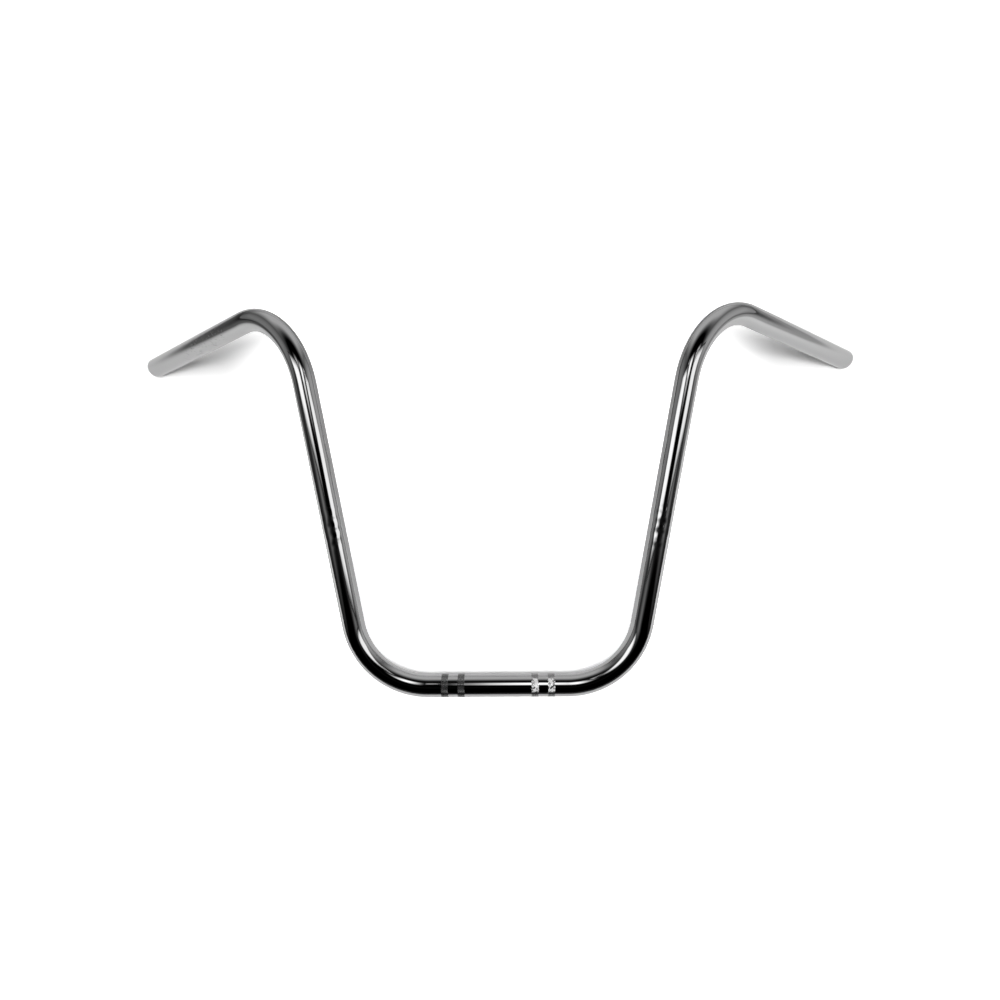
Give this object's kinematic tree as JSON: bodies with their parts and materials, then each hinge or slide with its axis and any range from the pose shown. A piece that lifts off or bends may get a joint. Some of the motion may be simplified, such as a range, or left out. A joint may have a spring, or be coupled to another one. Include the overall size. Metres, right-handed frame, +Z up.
{
  "type": "ape hanger handlebar",
  "caption": "Chromed steel tube handlebar with tall, outward-leaning risers, pulled-back grips and knurled bands where the riser clamps hold it.",
  "frame": {"origin": "on the floor, in the middle of the bar's bounding box as it lies at rest", "axes": "+X along the clamp tube, +Y from the clamp tube towards the grips, +Z up from the floor"},
  "size_m": [0.8364, 0.3986, 0.1715],
  "materials": {
    "chrome": "polished chrome plate"
  },
  "bodies": {
    "root": {"handlebar": "chrome"}
  },
  "joints": []
}
